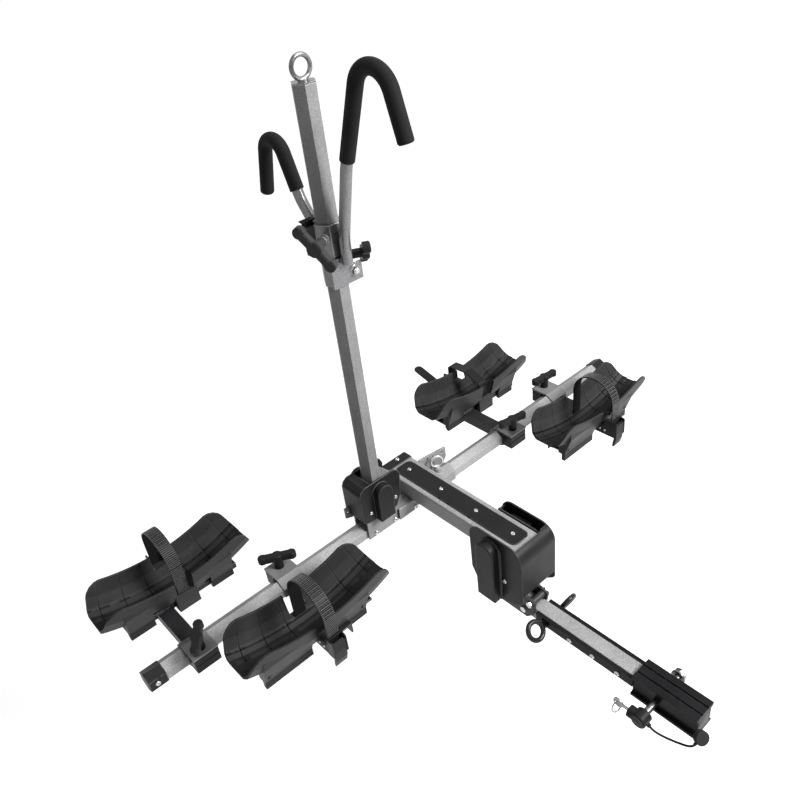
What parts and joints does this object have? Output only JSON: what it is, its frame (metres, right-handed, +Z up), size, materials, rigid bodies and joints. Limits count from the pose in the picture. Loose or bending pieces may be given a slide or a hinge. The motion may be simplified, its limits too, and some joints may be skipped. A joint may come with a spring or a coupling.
{
  "type": "rear bike rack",
  "caption": "Hitch-mounted platform bike rack: tilting beam and crossbar with sliding wheel trays, a folding mast and two padded frame hooks.",
  "frame": {"origin": "centre of the hitch pin inside the receiver sleeve", "axes": "+Y along the stinger towards the vehicle, +Z up, +X along the crossbar towards the mast's side"},
  "size_m": [1.302, 1.0509, 1.0384],
  "materials": {
    "silver_powdercoat": "satin",
    "grey_powdercoat": "satin",
    "dark_steel": "satin",
    "zinc_steel": "polished",
    "black_plastic": "satin",
    "black_steel": "gloss",
    "lock_black": "satin",
    "black_rubber": "matte",
    "hook_foam": "matte",
    "knob_plastic": "satin",
    "arm_steel": "satin",
    "jaw_steel": "satin",
    "tray_plastic": "satin",
    "strap_plastic": "satin",
    "buckle_plastic": "satin"
  },
  "bodies": {
    "receiver_frame": {"stinger_tube": "silver_powdercoat", "side_rails": "dark_steel", "rail_screws": "zinc_steel", "receiver_sleeve": "dark_steel", "hitch_pin": "zinc_steel", "pin_lock_body": "lock_black", "eye_bolts": "black_steel", "tether_cord": "black_rubber", "lock_dust_cap": "black_rubber", "pivot_plates": "dark_steel", "pivot_bolts": "zinc_steel", "front_cover": "black_plastic"},
    "lock_key": {"lock_key": "zinc_steel"},
    "release_handle": {"release_handle": "black_plastic"},
    "platform": {"beam_tube": "silver_powdercoat", "beam_inlay": "black_plastic", "beam_end_block": "black_plastic", "platform_screws": "zinc_steel", "crossbar": "silver_powdercoat", "bar_end_caps": "black_plastic", "carrier_bracket": "grey_powdercoat", "mast_cover": "black_plastic", "mast_pivot_bolt": "dark_steel"},
    "pull_plunger": {"pull_plunger": "zinc_steel"},
    "mast": {"mast_tube": "grey_powdercoat", "mast_eye_bolt": "zinc_steel"},
    "lower_hook": {"lower_hook_arm": "grey_powdercoat", "lower_hook_sleeve": "hook_foam"},
    "lower_hook_knob": {"lower_hook_knob": "knob_plastic"},
    "upper_hook": {"upper_hook_arm": "grey_powdercoat", "upper_hook_sleeve": "hook_foam"},
    "upper_hook_knob": {"upper_hook_knob": "knob_plastic"},
    "left_rear_tray": {"left_rear_arm": "arm_steel", "left_rear_jaw": "jaw_steel", "left_rear_cradle": "tray_plastic", "left_rear_strap": "strap_plastic", "left_rear_buckle": "buckle_plastic"},
    "left_rear_knob": {"left_rear_knob": "knob_plastic"},
    "left_rear_lever": {"left_rear_lever": "buckle_plastic"},
    "left_front_tray": {"left_front_arm": "arm_steel", "left_front_jaw": "jaw_steel", "left_front_cradle": "tray_plastic", "left_front_strap": "strap_plastic", "left_front_buckle": "buckle_plastic"},
    "left_front_knob": {"left_front_knob": "knob_plastic"},
    "left_front_lever": {"left_front_lever": "buckle_plastic"},
    "right_rear_tray": {"right_rear_arm": "arm_steel", "right_rear_jaw": "jaw_steel", "right_rear_cradle": "tray_plastic", "right_rear_strap": "strap_plastic", "right_rear_buckle": "buckle_plastic"},
    "right_rear_knob": {"right_rear_knob": "knob_plastic"},
    "right_rear_lever": {"right_rear_lever": "buckle_plastic"},
    "right_front_tray": {"right_front_arm": "arm_steel", "right_front_jaw": "jaw_steel", "right_front_cradle": "tray_plastic", "right_front_strap": "strap_plastic", "right_front_buckle": "buckle_plastic"},
    "right_front_knob": {"right_front_knob": "knob_plastic"},
    "right_front_lever": {"right_front_lever": "buckle_plastic"}
  },
  "joints": [
    {"name": "key_turn", "type": "hinge", "parent": "receiver_frame", "child": "lock_key", "pos_m": [0.0665, -0.022, 0], "axis": [0, 1, 0], "range_deg": [0, 90]},
    {"name": "handle_lift", "type": "slide", "parent": "receiver_frame", "child": "release_handle", "axis": [0, 0, 1], "range_m": [0, 0.012], "stiffness_N_per_m": 400},
    {"name": "platform_tilt", "type": "hinge", "parent": "receiver_frame", "child": "platform", "pos_m": [0, -0.352, 0.138], "axis": [1, 0, 0], "range_deg": [-90, 25]},
    {"name": "plunger_pull", "type": "slide", "parent": "platform", "child": "pull_plunger", "axis": [0, 0, 1], "range_m": [0, 0.008], "stiffness_N_per_m": 500},
    {"name": "mast_fold", "type": "hinge", "parent": "platform", "child": "mast", "pos_m": [0.108, -0.608, 0.191], "axis": [0, -1, 0], "range_deg": [0, 85]},
    {"name": "lower_hook_slide", "type": "slide", "parent": "mast", "child": "lower_hook", "axis": [0, 0, 1], "range_m": [-0.25, 0]},
    {"name": "upper_hook_slide", "type": "slide", "parent": "mast", "child": "upper_hook", "axis": [0, 0, 1], "range_m": [0, 0.15]},
    {"name": "lower_knob_turn", "type": "hinge", "parent": "lower_hook", "child": "lower_hook_knob", "pos_m": [0.0621, -0.5815, 0.69], "axis": [-0.866, 0.5, 0], "range_deg": [-180, 180]},
    {"name": "upper_knob_turn", "type": "hinge", "parent": "upper_hook", "child": "upper_hook_knob", "pos_m": [0.15935, -0.57835, 0.7318], "axis": [0.866, 0.5, 0], "range_deg": [-180, 180]},
    {"name": "left_rear_tray_slide", "type": "slide", "parent": "platform", "child": "left_rear_tray", "axis": [1, 0, 0], "range_m": [-0.06, 0.035]},
    {"name": "left_rear_knob_turn", "type": "hinge", "parent": "left_rear_tray", "child": "left_rear_knob", "pos_m": [0.542, -0.581, 0.122], "axis": [0, 0, 1], "range_deg": [-180, 180]},
    {"name": "left_rear_lever_lift", "type": "hinge", "parent": "left_rear_tray", "child": "left_rear_lever", "pos_m": [0.499, -0.8245, 0.145], "axis": [-1, 0, 0], "range_deg": [0, 70]},
    {"name": "left_front_tray_slide", "type": "slide", "parent": "platform", "child": "left_front_tray", "axis": [1, 0, 0], "range_m": [-0.06, 0.06]},
    {"name": "left_front_knob_turn", "type": "hinge", "parent": "left_front_tray", "child": "left_front_knob", "pos_m": [0.334, -0.635, 0.122], "axis": [0, 0, 1], "range_deg": [-180, 180]},
    {"name": "left_front_lever_lift", "type": "hinge", "parent": "left_front_tray", "child": "left_front_lever", "pos_m": [0.377, -0.3915, 0.145], "axis": [1, 0, 0], "range_deg": [0, 70]},
    {"name": "right_rear_tray_slide", "type": "slide", "parent": "platform", "child": "right_rear_tray", "axis": [1, 0, 0], "range_m": [-0.06, 0.06]},
    {"name": "right_rear_knob_turn", "type": "hinge", "parent": "right_rear_tray", "child": "right_rear_knob", "pos_m": [-0.28, -0.581, 0.122], "axis": [0, 0, 1], "range_deg": [-180, 180]},
    {"name": "right_rear_lever_lift", "type": "hinge", "parent": "right_rear_tray", "child": "right_rear_lever", "pos_m": [-0.323, -0.8245, 0.145], "axis": [-1, 0, 0], "range_deg": [0, 70]},
    {"name": "right_front_tray_slide", "type": "slide", "parent": "platform", "child": "right_front_tray", "axis": [1, 0, 0], "range_m": [-0.06, 0.06]},
    {"name": "right_front_knob_turn", "type": "hinge", "parent": "right_front_tray", "child": "right_front_knob", "pos_m": [-0.457, -0.635, 0.122], "axis": [0, 0, 1], "range_deg": [-180, 180]},
    {"name": "right_front_lever_lift", "type": "hinge", "parent": "right_front_tray", "child": "right_front_lever", "pos_m": [-0.414, -0.3915, 0.145], "axis": [1, 0, 0], "range_deg": [0, 70]}
  ]
}
